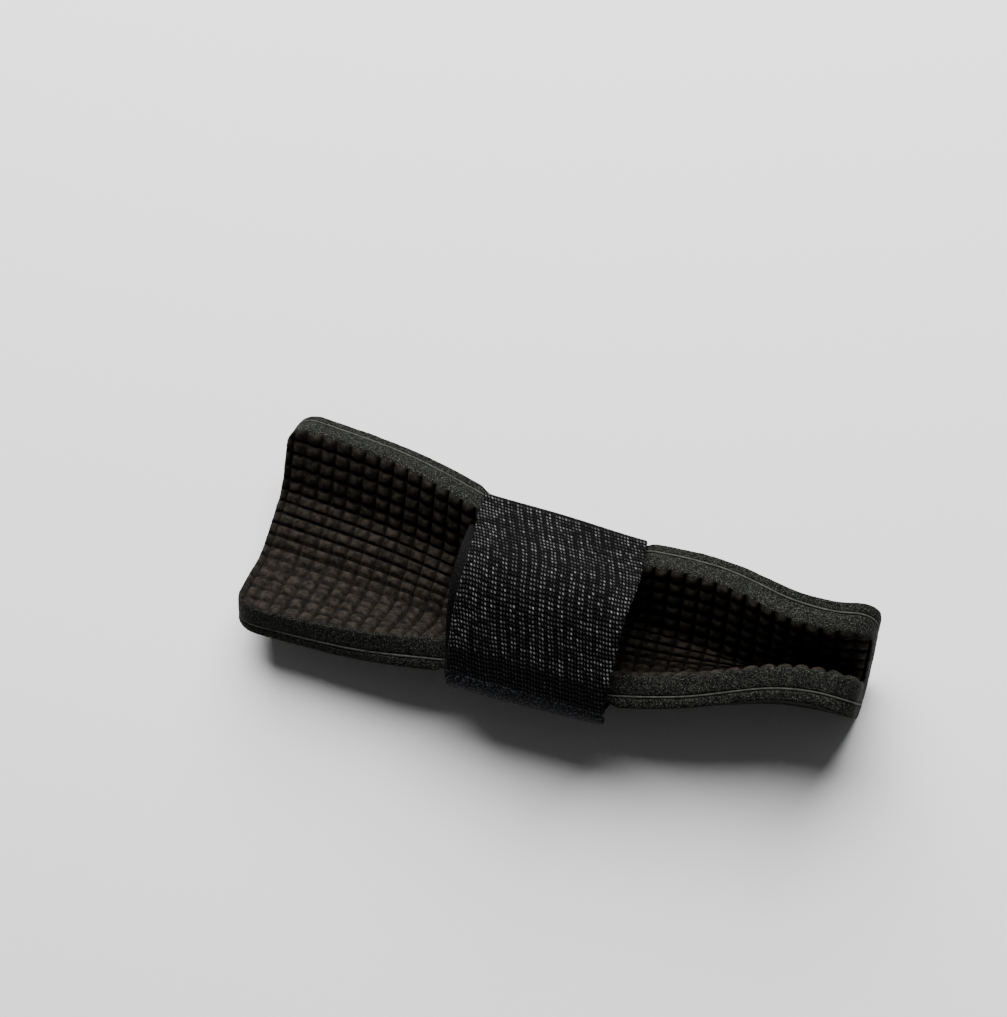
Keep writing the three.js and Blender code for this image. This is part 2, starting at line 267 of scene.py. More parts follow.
def mesh_of(name, points, faces, attributes=None, uv=None):
    """A smooth-shaded object from points in millimetres, with named numbers for each point."""
    mesh = bpy.data.meshes.new(name)
    placed = [(p[0] * METRES, (p[1] + SIDE_SHIFT) * METRES, p[2] * METRES) for p in points]
    mesh.from_pydata(placed, [], faces)
    for key, values in (attributes or {}).items():
        numbers = mesh.attributes.new(key, "FLOAT", "POINT")
        numbers.data.foreach_set("value", values)
    if uv:
        course = mesh.uv_layers.new(name="course")
        loops = [0] * len(mesh.loops)
        mesh.loops.foreach_get("vertex_index", loops)
        course.data.foreach_set("uv", [v for i in loops for v in uv[i]])
    mesh.polygons.foreach_set("use_smooth", [True] * len(mesh.polygons))
    mesh.update()
    made = bpy.data.objects.new(name, mesh)
    bpy.context.scene.collection.objects.link(made)
    return made


# Layers of the panel

EDGE_STEPS = 7
CORNER_STEPS = 9
GRID_STEP = 0.5
CELL_GRID_STEP = 0.3
FOAM_ROUNDING = 0.3
CORE_ROUNDING = 0.08
WIDEST_TURN = 0.4
FIRST_STOP = 0.25
MIDDLE_STOP = 0.35
CUT_AT_RIM = 0.6

# The cut edges: fine grain and long waves in the foam, and a core that stands a little proud
GRAIN_LENGTH = 0.5
GRAIN_HEIGHT = 0.05
WAVE_LENGTH = 3.0
OUTER_WAVE_HEIGHT = 0.1
INNER_WAVE_HEIGHT = 0.12
CORE_PROUD = 0.03
CORE_GRAIN_LENGTH = 1.2
CORE_GRAIN_HEIGHT = 0.05
CORE_SWELL_LENGTH = 5.0
CORE_SWELL_HEIGHT = 0.12


def along_places(inset, step):
    """Places along the panel: close together in the round corners, even between them."""
    radius = CORNER_RADIUS - inset
    end = HALF_LENGTH - inset
    turns = [math.pi / 2 * i / CORNER_STEPS for i in range(CORNER_STEPS + 1)]
    corner = [radius * (1 - math.cos(turn)) for turn in turns]
    middle = 2 * (end - radius)
    count = round(middle / step)
    inner = [-end + radius + middle * i / count for i in range(1, count)]
    return [-end + c for c in corner] + inner + [end - c for c in reversed(corner)]


def layer(name, outer_at, inner_at, relief, step, rounding, ragged):
    """One bonded layer between two distances from the core, with round edges. relief(x, girth)
    raises the inner face and ragged(x, girth, share) moves the cut edge outward."""
    places = along_places(rounding, step)
    columns_half = round((HALF_WIDTH - rounding) / step)
    shares = [j / columns_half for j in range(-columns_half, columns_half + 1)]
    points = []
    cut = []
    groove = []
    grids = []
    for inner_face in (False, True):
        grid = []
        for x in places:
            half = half_width_at(x, rounding)
            row = []
            for share in shares:
                girth = share * half
                if inner_face:
                    inward = inner_at(x, girth) + relief(x, girth)
                else:
                    inward = outer_at(x, girth)
                row.append(len(points))
                points.append(panel_point(x, girth, inward))
                cut.append(0.0)
                # The groove share, which sets the painted shade in the grooves
                groove.append(groove_at(x, girth) if inner_face else 0.0)
            grid.append(row)
        grids.append(grid)
    outer, inner = grids
    faces = []
    last_x = len(places) - 1
    last_g = len(shares) - 1
    for i in range(last_x):
        for j in range(last_g):
            faces.append((inner[i][j], inner[i + 1][j], inner[i + 1][j + 1], inner[i][j + 1]))
            faces.append((outer[i][j], outer[i][j + 1], outer[i + 1][j + 1], outer[i + 1][j]))
    # The cut edge, as rows from the outer face to the inner one all the way round
    ring = [(i, 0) for i in range(last_x)]
    ring += [(last_x, j) for j in range(last_g)]
    ring += [(i, last_g) for i in range(last_x, 0, -1)]
    ring += [(0, j) for j in range(last_g, 0, -1)]
    strips = []
    for i, j in ring:
        x = places[i]
        girth = shares[j] * half_width_at(x, rounding)
        first = len(points)
        points += edge_points(x, girth, outer_at(x, girth), inner_at(x, girth), rounding, ragged)
        added = len(points) - first
        cut += [1.0] * added
        groove += [0.0] * added
        cut[outer[i][j]] = CUT_AT_RIM
        cut[inner[i][j]] = CUT_AT_RIM
        strips.append([outer[i][j], *range(first, len(points)), inner[i][j]])
    for here, after in zip(strips, strips[1:] + strips[:1]):
        for k in range(EDGE_STEPS):
            faces.append((here[k], after[k], after[k + 1], here[k + 1]))
    return mesh_of(name, points, faces, {"cut": cut, "groove": groove})


def edge_points(x, girth, low, high, rounding, ragged):
    """Points of the cut edge beside one place of the outline, from the outer face to the inner one."""
    along, across = outline_normal(x, girth, rounding)
    points = []
    for k in range(1, EDGE_STEPS):
        share = edge_share(k, rounding, high - low)
        depth = min(share, 1 - share) * (high - low)
        out = rounding
        if depth < rounding:
            out = math.sqrt(rounding**2 - (rounding - depth) ** 2)
        out += ragged(x, girth, share)
        inward = low + (high - low) * share
        points.append(panel_point(x + along * out, girth + across * out, inward))
    return points


def edge_share(k, rounding, thickness):
    """Shares of the thickness: two steps in each round edge, the rest even between."""
    turn = min(rounding / thickness, WIDEST_TURN)
    first = turn * FIRST_STOP
    middle = (0.5 - turn) * MIDDLE_STOP
    stops = (0, first, turn, 0.5 - middle, 0.5 + middle, 1 - turn, 1 - first, 1)
    return stops[k]


def outline_normal(x, girth, inset):
    """Outward direction of the flat outline, as (along, across)."""
    radius = CORNER_RADIUS - inset
    corner_x = HALF_LENGTH - inset - radius
    corner_g = HALF_WIDTH - inset - radius
    dx = abs(x) - corner_x
    dg = abs(girth) - corner_g
    if dx > 0 and dg > 0:
        size = math.hypot(dx, dg)
        return math.copysign(dx / size, x), math.copysign(dg / size, girth)
    if abs(abs(girth) - (HALF_WIDTH - inset)) < abs(abs(x) - (HALF_LENGTH - inset)):
        return 0.0, math.copysign(1, girth)
    return math.copysign(1, x), 0.0


def wander(x, girth, share, length, seed):
    """Smooth noise over the cut edge, from -1 to 1."""
    return noise.noise(Vector((x / length, girth / length, share * 2 + seed)))


def no_relief(x, girth):
    """A plain inner face."""
    return 0.0


def cell_place(x, girth):
    """Where a point is in its cell: (cell along, cell across, share along, share across), with
    shares from 0 in the cell's middle to 1 in the groove."""
    from_end = (x + HALF_LENGTH - CELL_PHASE) / CELL_PITCH
    from_rim = (HALF_WIDTH - abs(girth)) / (HALF_WIDTH / CELLS_TO_RIM)
    return from_end, from_rim, abs((from_end % 1) * 2 - 1), abs((from_rim % 1) * 2 - 1)


def groove_at(x, girth):
    """1 in the grooves between the cells and 0 on the cells."""
    _, _, s, t = cell_place(x, girth)
    return smooth((max(s, t) - (1 - 2 * GROOVE_WIDTH)) / (2 * GROOVE_WIDTH))


def cell_relief(x, girth):
    """Height of the inner pad's face: low rounded pyramids between narrow grooves."""
    from_end, from_rim, s, t = cell_place(x, girth)
    edge = max(s, t)
    dome = (1 - s**DOME_POWER) * (1 - t**DOME_POWER)
    along, across, up = CELL_SEED
    seed = Vector((math.floor(from_end) * along, math.floor(from_rim) * across, up))
    wobble = 1 + CELL_VARIETY * noise.noise(seed)
    groove = smooth((edge - (1 - GROOVE_WIDTH)) / GROOVE_WIDTH)
    fade = smooth((HALF_WIDTH - abs(girth)) / RIM_FADE) * smooth((HALF_LENGTH - abs(x)) / END_FADE)
    return (CELL_SHOWN * dome * wobble - GROOVE_DEPTH * groove) * fade


def foam_edge(wave_height, grain_seed, wave_seed):
    """How far a foam's cut edge stands out, as a function of a place on it."""

    def ragged(x, girth, share):
        grain = GRAIN_HEIGHT * wander(x, girth, share, GRAIN_LENGTH, grain_seed)
        return grain + wave_height * wander(x, girth, share, WAVE_LENGTH, wave_seed)

    return ragged


def core_edge(x, girth, share):
    """How far the core sheet's cut edge stands out, the same through its thickness."""
    grain = CORE_GRAIN_HEIGHT * wander(x, girth, 0, CORE_GRAIN_LENGTH, 9)
    swell = CORE_SWELL_HEIGHT * max(wander(x, girth, 0, CORE_SWELL_LENGTH, 12), 0)
    return CORE_PROUD + grain + swell


def make_panel():
    outer_pad = layer(
        "outer_pad_foam",
        outer_face,
        lambda x, g: -CORE_SHOWN / 2 - BOND_SHOWN,
        no_relief,
        step=GRID_STEP,
        rounding=FOAM_ROUNDING,
        ragged=foam_edge(OUTER_WAVE_HEIGHT, grain_seed=0, wave_seed=5),
    )
    core = layer(
        "core_line",
        lambda x, g: -CORE_SHOWN / 2,
        lambda x, g: CORE_SHOWN / 2,
        no_relief,
        step=GRID_STEP,
        rounding=CORE_ROUNDING,
        ragged=core_edge,
    )
    inner_pad = layer(
        "inner_pad_cells",
        lambda x, g: CORE_SHOWN / 2 + BOND_SHOWN,
        lambda x, g: CORE_TO_VALLEY,
        cell_relief,
        step=CELL_GRID_STEP,
        rounding=FOAM_ROUNDING,
        ragged=foam_edge(INNER_WAVE_HEIGHT, grain_seed=21, wave_seed=27),
    )
    return outer_pad, core, inner_pad


# Strap

ROUND_SIDES = 120
TROUGH_STEPS = 80
ALMOST_ZERO = 1e-9
TURN_STEP = math.pi / 24
TURN_LENGTH = 2.4
FULL_TURN = 2 * math.pi
UP = math.pi / 2
LAP_STARTS_FACING = UP / 2

# Steps of the course, and where along it the lap covers it, the skew ends and the pile ends
LEAD_STEPS = 40
LOOP_STEPS = 490
LAP_STEPS = 300
COVERED_STEPS = 245
SKEWED_STEPS = 215
PILE_ENDS = 215
PILE_FADE = 40
EASE_PASSES = 10

# Across the strap: stations in its round selvedge and evenly between
SELVEDGE = 0.45
SELVEDGE_SHARE = 0.25
SELVEDGE_STATIONS = (0, 0.06, 0.18, 0.36, 0.6)
MIDDLE_INSET = 1
MIDDLE_STATIONS = 26

# Weft ribs on its outside
ROW_PITCH = 0.66
RIB_HEIGHT = 0.12
RIB_MEAN = 0.6


def convex_outline(points):
    """Convex outline of (y, z) points, anticlockwise as seen from the fingertip."""
    ordered = sorted(points)

    def chain(these):
        kept = []
        for p in these:
            while len(kept) > 1:
                o, q = kept[-2], kept[-1]
                if (q[0] - o[0]) * (p[1] - o[1]) - (q[1] - o[1]) * (p[0] - o[0]) > ALMOST_ZERO:
                    break
                kept.pop()
            kept.append(p)
        return kept[:-1]

    return chain(ordered) + chain(ordered[::-1])


def round_outline(y, z, half_width, half_depth):
    turns = (FULL_TURN * i / ROUND_SIDES for i in range(ROUND_SIDES))
    return [(y + half_width * math.cos(a), z + half_depth * math.sin(a)) for a in turns]


def flat_point(x, girth, inward):
    p = panel_point(x, girth, inward)
    return (p.y, p.z)


def finger_outline(x):
    far = flat_point(x, HALF_WIDTH, CORE_TO_LEAD)[0]
    near = flat_point(x, -HALF_WIDTH, CORE_TO_PEAK)[0]
    width = min(FINGER_WIDTH, far - near)
    middle = FINGER_BOTTOM_Z + FINGER_DEPTH / 2
    return round_outline((far + near) / 2, middle, width / 2, FINGER_DEPTH / 2)


def trough_outline(x):
    outward = -CORE_TO_OUTSIDE - Section.at(x).foam
    shares = [i / (TROUGH_STEPS / 2) - 1 for i in range(TROUGH_STEPS + 1)]
    outside = [flat_point(x, HALF_WIDTH * share, outward) for share in shares]
    rims = [flat_point(x, girth, CORE_TO_VALLEY) for girth in (-HALF_WIDTH, HALF_WIDTH)]
    near_slack = round_outline(*outside[0], STRAP_SLACK_NEAR, STRAP_SLACK_NEAR)
    far_slack = round_outline(*outside[-1], STRAP_SLACK_FAR, STRAP_SLACK_FAR)
    return outside + rims + near_slack + far_slack


class Walk:
    """An outline walked as contacts (length, y, z, normal angle). A corner is walked through its
    turn, so it has a length of its own: so many millimetres for each radian."""

    def __init__(self, outline):
        self.contacts = []
        self.length = 0.0
        count = len(outline)

        def normal_of(i):
            here = outline[i % count]
            after = outline[(i + 1) % count]
            return math.atan2(here[0] - after[0], after[1] - here[1])

        for i, (y, z) in enumerate(outline):
            before = normal_of(i - 1)
            turn = (normal_of(i) - before) % FULL_TURN
            steps = max(math.ceil(turn / TURN_STEP), 1)
            for k in range(steps + 1):
                self.contacts.append((self.length, y, z, before + turn * k / steps))
                if k < steps:
                    self.length += turn / steps * TURN_LENGTH
            self.length += math.dist((y, z), outline[(i + 1) % count])

    def facing(self, angle):
        return min(self.contacts, key=lambda c: abs(short_turn(angle, c[3])))[0]

    def at(self, wanted):
        length = wanted % self.length
        high = next((i for i, c in enumerate(self.contacts) if c[0] > length), len(self.contacts))
        low = self.contacts[high - 1]
        after = self.contacts[high % len(self.contacts)]
        after_length = after[0] if high < len(self.contacts) else self.length
        share = (length - low[0]) / max(after_length - low[0], ALMOST_ZERO)
        y = low[1] + (after[1] - low[1]) * share
        z = low[2] + (after[2] - low[2]) * share
        return y, z, low[3] + short_turn(low[3], after[3]) * share

    def span(self, start, end, steps):
        return [self.at(start + (end - start) * i / steps) for i in range(steps)]


def short_turn(start, end):
    return (end - start + math.pi) % FULL_TURN - math.pi


def over(contact, height):
    y, z, angle = contact
    return (y + math.cos(angle) * height, z + math.sin(angle) * height)


def strap_course(x):
    """Contacts of the strap over one section: up along the far wall's inside, over the finger's
    back, round the trough and over the back again to its end on the near wall."""
    far_lean = Section.at(x).far.lean
    finger = finger_outline(x)
    trough = trough_outline(x)
    lead_line = CORE_TO_LEAD - STRAP_LEAD_GAP
    on_wall = [flat_point(x, HALF_WIDTH - depth, lead_line) for depth in (STRAP_LEAD_DROP, 0)]
    finger_back = [p for p in finger if p[1] > on_wall[1][1]]
    rising = Walk(convex_outline(finger_back + on_wall))
    lead = rising.span(rising.facing(-far_lean), rising.facing(UP), LEAD_STEPS)
    first = Walk(convex_outline(finger + trough))
    loop = first.span(first.facing(UP), first.length + first.facing(LAP_STARTS_FACING), LOOP_STEPS)
    covered = [over(c, STRAP_GAP + STRAP_THICKNESS) for c in lead + loop[:COVERED_STEPS]]
    far_side = [p for p in trough if p[0] > Section.at(x).drift]
    second = Walk(convex_outline(covered + far_side))
    lap_end = second.facing(UP) + STRAP_OVERLAP
    lap = second.span(second.facing(LAP_STARTS_FACING), lap_end, LAP_STEPS)
    return lead + loop + lap + [second.at(lap_end)]


def eased(course, passes):
    """The course with its angles and places evened out, so that no facet of an outline shows."""
    for _ in range(passes):
        softened = [course[0]]
        for before, here, after in zip(course, course[1:], course[2:]):
            y = (before[0] + 2 * here[0] + after[0]) / 4
            z = (before[1] + 2 * here[1] + after[1]) / 4
            turn = (short_turn(here[2], before[2]) + short_turn(here[2], after[2])) / 4
            softened.append((y, z, here[2] + turn))
        course = softened + [course[-1]]
    return course


def course_lengths(course):
    """Lengths along the strap's outside, from its start to each place of the course."""
    outside = [over(contact, STRAP_THICKNESS) for contact in course]
    lengths = [0.0]
    for here, after in zip(outside, outside[1:]):
        lengths.append(lengths[-1] + math.dist(here, after))
    return lengths


def pile_shares(course):
    """How much loop pile shows at each place of the course: all of it on the lead, none on the
    weave, and all of it again from the turn over the near wall to the lap's end."""
    shares = []
    end_pile = 0.0
    for j, contact in enumerate(course):
        lead_pile = 1 - smooth((j - PILE_ENDS + PILE_FADE) / PILE_FADE)
        if j > LEAD_STEPS + LOOP_STEPS:
            end_pile = max(end_pile, smooth(NEAR_PILE_Y - contact[0] - SIDE_SHIFT))
        shares.append(max(lead_pile, end_pile))
    return shares


def face_height(x, facing, length, pile, side):
    """Height of the strap's inside, side -1, or outside, side 1, over what it lies on."""
    from_edge = STRAP_WIDTH / 2 - abs(x)
    round_share = math.sqrt(max(1 - (1 - min(from_edge / SELVEDGE, 1)) ** 2, 0))
    thickness_share = SELVEDGE_SHARE + (1 - SELVEDGE_SHARE) * round_share
    facing_far = smooth(max(math.cos(facing), 0))
    bridge = FAR_BRIDGE * facing_far * (1 - (2 * x / STRAP_WIDTH) ** 2)
    half = STRAP_THICKNESS / 2
    height = STRAP_GAP + half + side * half * thickness_share + bridge
    if side > 0:
        rib = abs(math.sin(math.pi * length / ROW_PITCH)) - RIB_MEAN
        height += RIB_HEIGHT * rib * (1 - pile) * round_share
    return height


def skew_at(x, j, y, z):
    """How far a place of the strap lies from its station, towards the proximal end."""
    low = smooth((STRAP_TOP_Z - z) / SHIFT_DEPTH) if j > LEAD_STEPS else 0.0
    beside = (y - Section.at(x).drift) / SHIFT_DEPTH
    skew = STRAP_LEAD_SKEW * max(1 - j / SKEWED_STEPS, 0)
    skew += (FAR_SHIFT * low - FAR_SPREAD * x) * smooth(beside) - ALL_SPREAD * x
    pinch = NEAR_PINCH * low if x < 0 else CURL_PINCH * smooth((CURL_Z - z) / CURL_DEPTH)
    return skew + pinch * x * smooth(-beside)


def band_faces(under, top):
    """Faces of a closed band between two grids of the same size, [station][place]."""
    faces = []
    last = len(top) - 1
    end = len(top[0]) - 1
    for j in range(end):
        for i in range(last):
            faces.append((top[i][j], top[i][j + 1], top[i + 1][j + 1], top[i + 1][j]))
            faces.append((under[i][j], under[i + 1][j], under[i + 1][j + 1], under[i][j + 1]))
        faces.append((under[0][j], under[0][j + 1], top[0][j + 1], top[0][j]))
        faces.append((under[last][j], top[last][j], top[last][j + 1], under[last][j + 1]))
    for i in range(last):
        faces.append((under[i][0], top[i][0], top[i + 1][0], under[i + 1][0]))
        faces.append((under[i][end], under[i + 1][end], top[i + 1][end], top[i][end]))
    return faces


def make_strap():
    """The strap and the length that it was cut to."""
    edge = STRAP_WIDTH / 2
    inner_width = STRAP_WIDTH - 2 * MIDDLE_INSET
    stations = [-edge + d for d in SELVEDGE_STATIONS]
    for i in range(MIDDLE_STATIONS + 1):
        stations.append(-edge + MIDDLE_INSET + inner_width * i / MIDDLE_STATIONS)
    stations += [edge - d for d in reversed(SELVEDGE_STATIONS)]
    courses = [eased(strap_course(x * EDGE_CALM), EASE_PASSES) for x in stations]
    lengths = course_lengths(courses[len(stations) // 2])
    points = []
    pile = []
    uv = []
    grids = []
    for side in (-1, 1):
        grid = []
        for x, course in zip(stations, courses):
            row = []
            shares = pile_shares(course)
            for j, contact in enumerate(course):
                y, z = over(contact, face_height(x, contact[2], lengths[j], shares[j], side))
                row.append(len(points))
                points.append((x - skew_at(x, j, y, z), y, z))
                uv.append((x, lengths[j]))
            pile += shares
            grid.append(row)
        grids.append(grid)
    strap = mesh_of("strap_webbing", points, band_faces(*grids), {"pile": pile}, uv)
    return strap, lengths[-1]


# Materials


class Graph:
    """A material's node tree, with short calls for the nodes that it needs."""

    def __init__(self, name, roughness, shine):
        self.material = bpy.data.materials.new(name)
        self.material.use_nodes = True
        self.tree = self.material.node_tree
        self.shader = self.tree.nodes["Principled BSDF"]
        self.shader.inputs["Roughness"].default_value = roughness
        self.shader.inputs["Specular IOR Level"].default_value = shine

    def node(self, kind, **inputs):
        made = self.tree.nodes.new(kind)
        for key, value in inputs.items():
            self.feed(made.inputs[key.replace("_", " ")], value)
        return made

    def feed(self, socket, value):
        if isinstance(value, bpy.types.NodeSocket):
            self.tree.links.new(value, socket)
        else:
            socket.default_value = value

    def math(self, operation, *values):
        made = self.tree.nodes.new("ShaderNodeMath")
        made.operation = operation
        for socket, value in zip(made.inputs, values):
            self.feed(socket, value)
        return made.outputs[0]

    def ramp(self, value, low, high, out_low=0.0, out_high=1.0):
        made = self.node("ShaderNodeMapRange", Value=value)
        made.interpolation_type = "SMOOTHSTEP"
        made.inputs["From Min"].default_value = low
        made.inputs["From Max"].default_value = high
        made.inputs["To Min"].default_value = out_low
        made.inputs["To Max"].default_value = out_high
        return made.outputs[0]

    def mix(self, share, first, second):
        """A colour from first, where the share is 0, to second, where it is 1."""
        made = self.tree.nodes.new("ShaderNodeMix")
        made.data_type = "RGBA"
        for socket, value in zip((made.inputs[0], *made.inputs[6:8]), (share, first, second)):
            self.feed(socket, value)
        return made.outputs[2]

    def places(self):
        """Object coordinates in millimetres."""
        coordinates = self.tree.nodes.new("ShaderNodeTexCoord")
        scaled = self.tree.nodes.new("ShaderNodeVectorMath")
        scaled.operation = "SCALE"
        self.feed(scaled.inputs[0], coordinates.outputs["Object"])
        scaled.inputs[3].default_value = 1 / METRES
        return scaled.outputs[0]

    def noise(self, vector, per_mm, detail=2.0):
        made = self.node("ShaderNodeTexNoise", Vector=vector, Scale=per_mm, Detail=detail)
        return made.outputs["Fac"]

    def number(self, name):
        made = self.tree.nodes.new("ShaderNodeAttribute")
        made.attribute_name = name
        return made.outputs["Fac"]

    def bump(self, height, depth, strength=1.0):
        made = self.node("ShaderNodeBump", Height=height, Strength=strength)
        made.inputs["Distance"].default_value = depth * METRES
        self.feed(self.shader.inputs["Normal"], made.outputs[0])

    def colour(self, value):
        self.feed(self.shader.inputs["Base Color"], value)


def rgba(red, green, blue):
    return (red, green, blue, 1.0)


FOAM_DARK = rgba(0.0010, 0.0012, 0.0009)
# Pale end of the foam's grain, and the colour of its painted sparkle
FOAM_LIGHT = rgba(0.105, 0.112, 0.094)
SKIN_DARK = rgba(0.0060, 0.0050, 0.0040)
SKIN_LIGHT = rgba(0.028, 0.0225, 0.0175)
# Colour of the painted shade in the grooves between the cells
GROOVE_SHADE = rgba(0.0012, 0.0010, 0.0008)
CORE_DARK = rgba(0.026, 0.027, 0.023)
CORE_LIGHT = rgba(0.048, 0.050, 0.043)
WEAVE_DARK = rgba(0.0008, 0.0009, 0.0008)
# Colour of the painted highlights on the webbing's floats
WEAVE_GLINT = rgba(0.15, 0.152, 0.15)
PILE_DARK = rgba(0.0010, 0.0010, 0.0012)
PILE_LIGHT = rgba(0.0080, 0.0084, 0.0095)
# Colour of the painted sheen on the loop pile low on the near side
END_PILE_SHEEN = rgba(0.060, 0.062, 0.078)


def cut_foam(graph, places):
    """Cut foam: dark, with grain and close pale specks of painted sparkle, painted highlights. Returns
    (colour, height).
    """
    grain = graph.noise(places, per_mm=4.5, detail=3.0)
    fine = graph.noise(places, per_mm=8.0)
    # Specks of painted sparkle: painted highlights on the cut foam, which also raise its bumps
    cells = graph.node("ShaderNodeTexVoronoi", Vector=places, Scale=5.2)
    pick = graph.node("ShaderNodeSeparateColor", Color=cells.outputs["Color"]).outputs[0]
    small = graph.ramp(cells.outputs["Distance"], 0.5, 0.15)
    speck = graph.math("MULTIPLY", graph.ramp(pick, 0.7, 1.0), small)
    painted_sparkle = graph.math("MULTIPLY", speck, 0.9)
    tone = graph.math("MULTIPLY_ADD", graph.ramp(grain, 0.42, 0.66), 0.2, painted_sparkle)
    height = graph.math("MULTIPLY_ADD", fine, 0.6, graph.math("MULTIPLY", speck, 0.6))
    return graph.mix(tone, FOAM_DARK, FOAM_LIGHT), height


def outer_foam():
    graph = Graph("outer foam", roughness=0.85, shine=0.05)
    colour, height = cut_foam(graph, graph.places())
    graph.colour(colour)
    graph.bump(height, depth=0.12, strength=0.8)
    return graph.material


def inner_foam():
    """Brownish skin on the cells, with painted shade in the grooves between them, and cut foam round
    the edge.
    """
    graph = Graph("inner foam", roughness=0.8, shine=0.06)
    places = graph.places()
    cut = graph.number("cut")
    colour, height = cut_foam(graph, places)
    skin_grain = graph.noise(places, per_mm=1.1, detail=4.0)
    skin = graph.mix(graph.ramp(skin_grain, 0.3, 0.75), SKIN_DARK, SKIN_LIGHT)
    # Painted shade: the grooves between the cells are painted dark
    skin = graph.mix(graph.number("groove"), skin, GROOVE_SHADE)
    graph.colour(graph.mix(cut, skin, colour))
    skin_height = graph.math("MULTIPLY", graph.noise(places, per_mm=3.5, detail=3.0), 0.5)
    height = graph.math("ADD", skin_height, graph.math("MULTIPLY", height, cut))
    graph.bump(height, depth=0.12, strength=0.7)
    return graph.material


def core_grey():
    graph = Graph("core sheet", roughness=0.7, shine=0.1)
    places = graph.places()
    grain = graph.ramp(graph.noise(places, per_mm=1.3, detail=3.0), 0.3, 0.7)
    graph.colour(graph.mix(grain, CORE_DARK, CORE_LIGHT))
    graph.bump(graph.noise(places, per_mm=3.0), depth=0.05)
    return graph.material


FLOAT_PITCH = 0.49
BORDER_WIDTH = 2.9
GROUP_FLOATS = 3
ROW_SHIFT = 0.16
FLOAT_TILT = 0.3
STRAY = 0.35
BORDER_BLUR = 0.1
LOW_FLOAT_DEPTH = 0.55
GROUP_SEED = 7.0
PILE_RISE = 1.5


